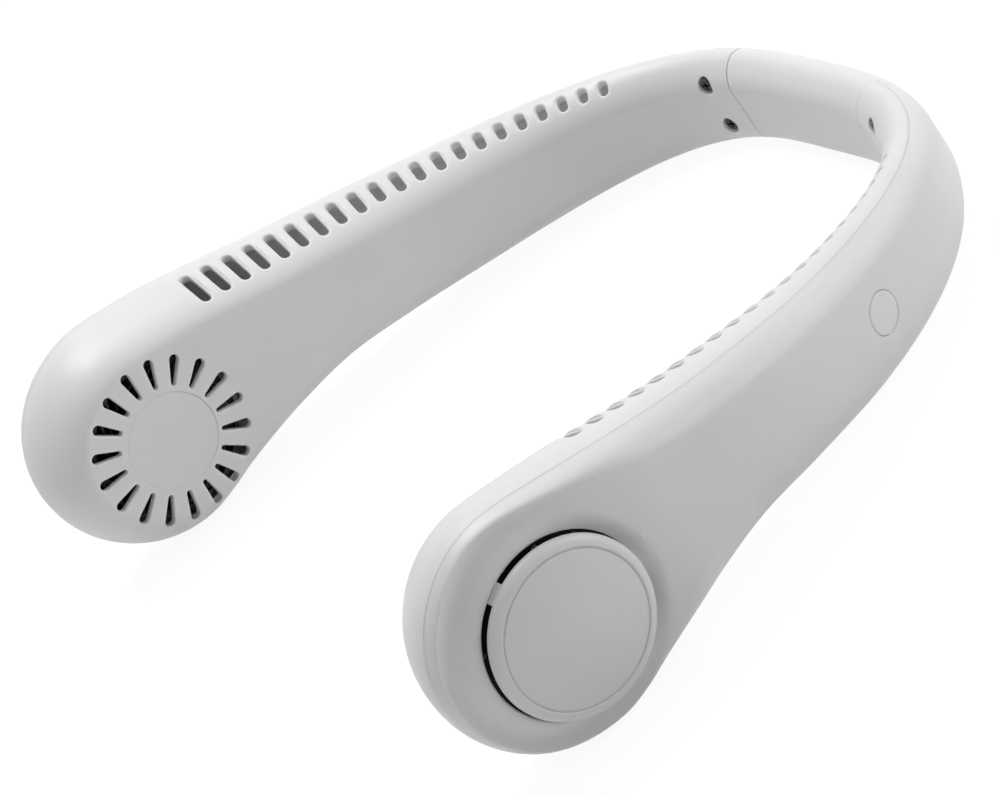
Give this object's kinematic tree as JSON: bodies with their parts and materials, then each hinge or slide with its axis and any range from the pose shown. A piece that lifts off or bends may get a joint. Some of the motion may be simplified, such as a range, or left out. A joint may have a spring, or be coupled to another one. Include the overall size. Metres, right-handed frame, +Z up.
{
  "type": "electric neck fan",
  "caption": "Wearable electric fan: a springy U-shaped air duct worn round the neck, with a round fan pod at each end and outlet slots along its upper inner edge.",
  "frame": {"origin": "middle of the overall plan, on the surface that the fan stands on", "axes": "+X to the wearer's left, +Y towards the nape, +Z up; both fan pods turn about X"},
  "size_m": [0.1852, 0.1606, 0.0484],
  "materials": {
    "inner_casing_white": "satin",
    "outer_casing_white": "satin",
    "cover_white": "satin",
    "inlet_dark": "matt",
    "screw_steel": "bright",
    "impeller_grey": "matt",
    "can_steel": "drawn",
    "magnet": "sintered",
    "shaft_steel": "ground",
    "motor_base_grey": "cast",
    "bush_bronze": "sintered",
    "stator_steel": "laminated",
    "copper_wire": "enamelled",
    "guide_white": "moulded",
    "cell_film": "wrapped film",
    "foam_pad": "foam",
    "lead_red": "insulated",
    "plug_grey": "moulded",
    "sleeve_white": "soft satin",
    "spring_steel": "rolled",
    "wire_black": "insulated",
    "board_green": "lacquered",
    "switch_black": "moulded",
    "plunger_ivory": "moulded",
    "button_white": "satin",
    "socket_steel": "plated"
  },
  "bodies": {
    "neck": {"neck_sleeve": "sleeve_white", "neck_spring": "spring_steel", "neck_wiring": "wire_black"},
    "left_arm": {"left_inner_shell": "inner_casing_white", "left_outer_shell": "outer_casing_white", "left_intake_cover": "cover_white", "left_inlet_ring": "inlet_dark", "left_inlet_screws": "screw_steel", "left_motor_base": "motor_base_grey", "left_bushes": "bush_bronze", "left_stator": "stator_steel", "left_windings": "copper_wire", "left_air_guide": "guide_white", "left_battery": "cell_film", "left_battery_pad": "foam_pad", "left_motor_lead": "lead_red", "left_neck_plug": "plug_grey", "left_neck_screws": "screw_steel", "left_board_lead": "wire_black", "control_board": "board_green", "tact_switch": "switch_black", "usb_socket": "socket_steel"},
    "right_arm": {"right_inner_shell": "inner_casing_white", "right_outer_shell": "outer_casing_white", "right_intake_cover": "cover_white", "right_inlet_ring": "inlet_dark", "right_inlet_screws": "screw_steel", "right_motor_base": "motor_base_grey", "right_bushes": "bush_bronze", "right_stator": "stator_steel", "right_windings": "copper_wire", "right_air_guide": "guide_white", "right_battery": "cell_film", "right_battery_pad": "foam_pad", "right_motor_lead": "lead_red", "right_neck_plug": "plug_grey", "right_neck_screws": "screw_steel"},
    "left_fan": {"left_impeller": "impeller_grey", "left_rotor_can": "can_steel", "left_magnet_ring": "magnet", "left_motor_shaft": "shaft_steel"},
    "right_fan": {"right_impeller": "impeller_grey", "right_rotor_can": "can_steel", "right_magnet_ring": "magnet", "right_motor_shaft": "shaft_steel"},
    "power_button": {"power_button": "button_white", "switch_plunger": "plunger_ivory"}
  },
  "joints": [
    {"name": "left_arm_flex", "type": "hinge", "parent": "neck", "child": "left_arm", "pos_m": [0.013, 0.07518, 0.01065], "axis": [0, 0, 1], "range_deg": [-4, 12], "stiffness_Nm_per_rad": 3, "deforming": ["neck_sleeve", "neck_spring", "neck_wiring"]},
    {"name": "right_arm_flex", "type": "hinge", "parent": "neck", "child": "right_arm", "pos_m": [-0.013, 0.07518, 0.01065], "axis": [0, 0, -1], "range_deg": [-4, 12], "stiffness_Nm_per_rad": 3, "deforming": ["neck_sleeve", "neck_spring", "neck_wiring"]},
    {"name": "left_fan_spin", "type": "hinge", "parent": "left_arm", "child": "left_fan", "pos_m": [0.082, -0.05505, 0.023], "axis": [1, 0, 0], "continuous": true},
    {"name": "right_fan_spin", "type": "hinge", "parent": "right_arm", "child": "right_fan", "pos_m": [-0.082, -0.05505, 0.023], "axis": [-1, 0, 0], "continuous": true},
    {"name": "power_button_press", "type": "slide", "parent": "left_arm", "child": "power_button", "axis": [-0.9442, -0.3294, 0], "range_m": [0, 0.0004], "stiffness_N_per_m": 3000}
  ]
}
